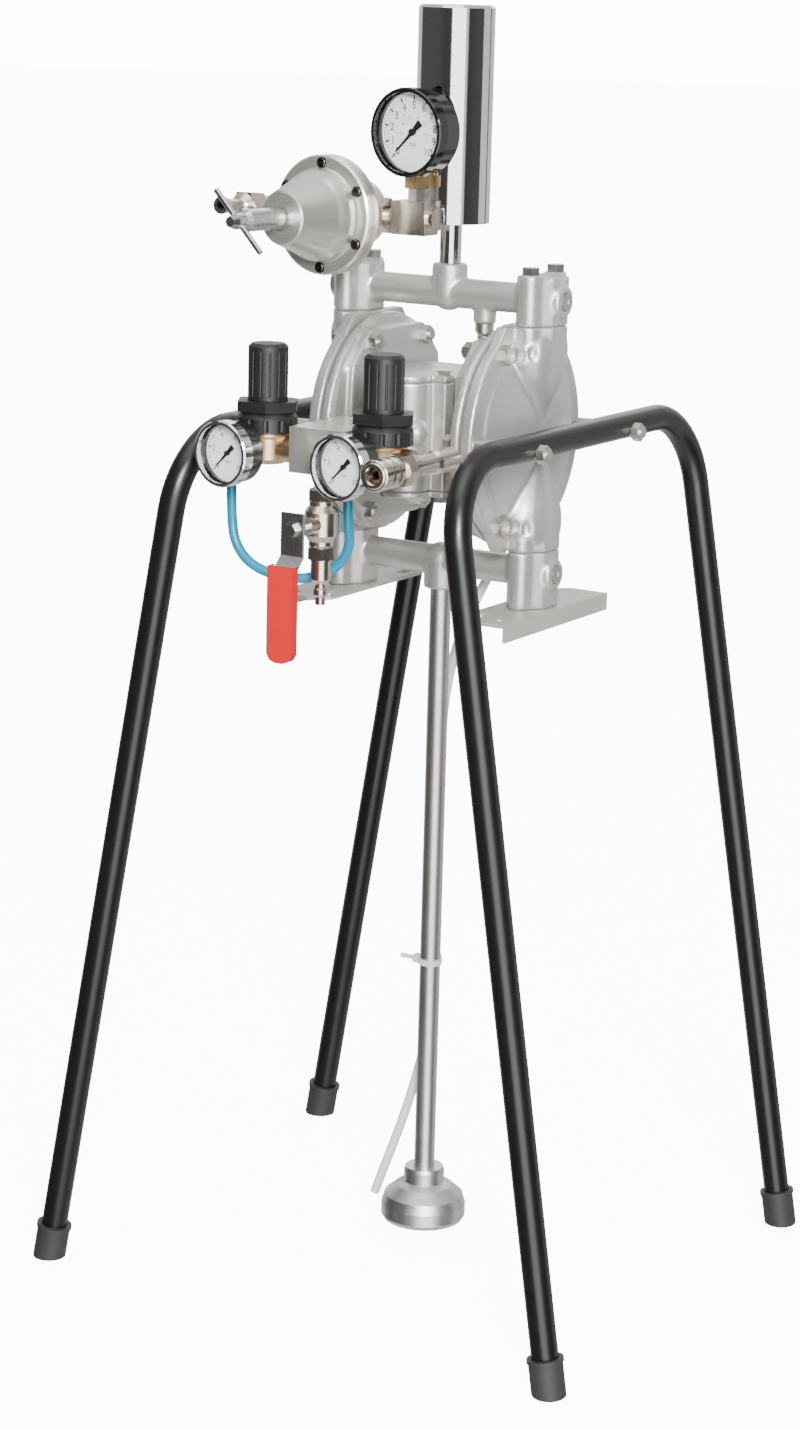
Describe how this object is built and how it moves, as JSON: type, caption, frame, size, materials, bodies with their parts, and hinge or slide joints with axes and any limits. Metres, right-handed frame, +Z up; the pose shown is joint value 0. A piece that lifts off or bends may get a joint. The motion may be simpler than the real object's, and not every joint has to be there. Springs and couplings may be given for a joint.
{
  "type": "air-operated double diaphragm pump",
  "caption": "Compact air-driven double diaphragm pump on a bent-tube floor stand, with suction tube, air controls, fluid regulator, gauge and pulsation damper.",
  "frame": {"origin": "floor level, midway between the four feet, below the pump's centre", "axes": "+Z up, X from chamber to chamber, -Y towards the air controls"},
  "size_m": [0.5004, 0.444, 1.022],
  "materials": {
    "stand_paint": "gloss black",
    "cap_rubber": "matt",
    "zinc_steel": "zinc plated",
    "casting": "blasted casting",
    "plain_sheet": "satin",
    "muffler_plastic": "matt",
    "diaphragm_rubber": "matt",
    "bright_steel": "ground",
    "damper_chrome": "mirror polish",
    "tube_aluminium": "satin",
    "turned_aluminium": "turned",
    "nickel": "nickel plated",
    "brass": "satin",
    "black_plastic": "satin",
    "gauge_case": "gloss black",
    "gauge_bezel": "polished",
    "dial_white": "matt",
    "needle_black": "matt",
    "gauge_glass": "clear",
    "red_grip": "dipped",
    "blue_hose": "gloss",
    "white_plastic": "translucent"
  },
  "bodies": {
    "pump": {"right_leg_frame": "stand_paint", "left_leg_frame": "stand_paint", "foot_caps": "cap_rubber", "hex_bolts": "zinc_steel", "hex_nuts": "zinc_steel", "frame_spacers": "zinc_steel", "valve_bolts": "zinc_steel", "cap_screws": "zinc_steel", "outer_covers": "casting", "air_chambers": "casting", "air_valve_housing": "casting", "valve_caps": "casting", "upper_manifold": "casting", "lower_manifold": "casting", "center_body": "casting", "base_plates": "plain_sheet", "exhaust_muffler": "muffler_plastic", "diaphragms": "diaphragm_rubber", "fluid_diaphragm": "diaphragm_rubber", "ball_seats": "bright_steel", "riser_pipe": "bright_steel", "port_plugs": "bright_steel", "fluid_spring": "bright_steel", "pulsation_damper": "damper_chrome", "suction_tube": "tube_aluminium", "strainer_foot": "tube_aluminium", "distribution_block": "tube_aluminium", "fluid_regulator_body": "turned_aluminium", "fluid_regulator_bonnet": "turned_aluminium", "coupler_body": "nickel", "inlet_valve_body": "nickel", "outlet_fittings": "nickel", "regulator_bodies": "brass", "hose_fittings": "brass", "regulator_bonnets": "black_plastic", "gauge_cases": "gauge_case", "gauge_bezels": "gauge_bezel", "gauge_dials": "dial_white", "gauge_lenses": "gauge_glass", "control_hose": "blue_hose", "return_hose": "white_plastic", "cable_tie": "white_plastic"},
    "shaft": {"diaphragm_shaft": "bright_steel"},
    "right_balls": {"right_discharge_balls": "bright_steel"},
    "left_balls": {"left_discharge_balls": "bright_steel"},
    "spool": {"valve_spool": "bright_steel"},
    "left_screw": {"left_adjusting_screw": "bright_steel"},
    "left_cap": {"left_knob": "black_plastic"},
    "right_screw": {"right_adjusting_screw": "bright_steel"},
    "right_cap": {"right_knob": "black_plastic"},
    "left_needle": {"left_gauge_needle": "needle_black"},
    "right_needle": {"right_gauge_needle": "needle_black"},
    "top_needle": {"top_gauge_needle": "needle_black"},
    "fluid_seat": {"spring_seat": "bright_steel"},
    "fluid_screw": {"fluid_adjusting_screw": "bright_steel"},
    "inlet_lever": {"inlet_valve_ball": "nickel", "valve_lever": "bright_steel", "lever_grip": "red_grip"},
    "coupler_ring": {"coupler_sleeve": "nickel"}
  },
  "joints": [
    {"name": "shaft_stroke", "type": "slide", "parent": "pump", "child": "shaft", "axis": [1, 0, 0], "range_m": [-0.004, 0.004], "deforming": ["diaphragms"]},
    {"name": "right_ball_lift", "type": "slide", "parent": "pump", "child": "right_balls", "axis": [0, 0, 1], "range_m": [0, 0.004]},
    {"name": "left_ball_lift", "type": "slide", "parent": "pump", "child": "left_balls", "axis": [0, 0, 1], "range_m": [0, 0.004]},
    {"name": "spool_shift", "type": "slide", "parent": "pump", "child": "spool", "axis": [0, 0, 1], "range_m": [0, 0.008]},
    {"name": "left_knob_turn", "type": "hinge", "parent": "pump", "child": "left_screw", "pos_m": [-0.0725, -0.148, 0.72], "axis": [0, 0, 1], "range_deg": [0, 720]},
    {"name": "left_knob_lift", "type": "slide", "parent": "left_screw", "child": "left_cap", "axis": [0, 0, 1], "range_m": [0, 0.004]},
    {"name": "right_knob_turn", "type": "hinge", "parent": "pump", "child": "right_screw", "pos_m": [0.032, -0.148, 0.72], "axis": [0, 0, 1], "range_deg": [0, 720]},
    {"name": "right_knob_lift", "type": "slide", "parent": "right_screw", "child": "right_cap", "axis": [0, 0, 1], "range_m": [0, 0.004]},
    {"name": "left_needle_turn", "type": "hinge", "parent": "pump", "child": "left_needle", "pos_m": [-0.0725, -0.148, 0.6865], "axis": [0.1045, 0.9945, 0], "range_deg": [0, 270]},
    {"name": "right_needle_turn", "type": "hinge", "parent": "pump", "child": "right_needle", "pos_m": [0.032, -0.148, 0.6865], "axis": [0.1045, 0.9945, 0], "range_deg": [0, 270]},
    {"name": "top_needle_turn", "type": "hinge", "parent": "pump", "child": "top_needle", "pos_m": [-0.006, -0.048, 0.926], "axis": [0.1045, 0.9945, 0], "range_deg": [0, 270]},
    {"name": "spring_seat_travel", "type": "slide", "parent": "pump", "child": "fluid_seat", "axis": [0.1045, 0.9945, 0], "range_m": [0, 0.0045], "deforming": ["fluid_spring"]},
    {"name": "fluid_screw_turn", "type": "hinge", "parent": "fluid_seat", "child": "fluid_screw", "pos_m": [-0.068, -0.04, 0.86], "axis": [0.1045, 0.9945, 0], "range_deg": [0, 1080]},
    {"name": "inlet_lever_turn", "type": "hinge", "parent": "pump", "child": "inlet_lever", "pos_m": [-0.023, -0.145, 0.632], "axis": [0, -1, 0], "range_deg": [0, 90]},
    {"name": "coupler_sleeve_pull", "type": "slide", "parent": "pump", "child": "coupler_ring", "axis": [0, 1, 0], "range_m": [0, 0.005], "stiffness_N_per_m": 300, "springref_m": -0.004}
  ],
  "couplings": [
    {"joint": "fluid_screw_turn", "follows": "spring_seat_travel", "rad_per_m": 4188.8}
  ]
}
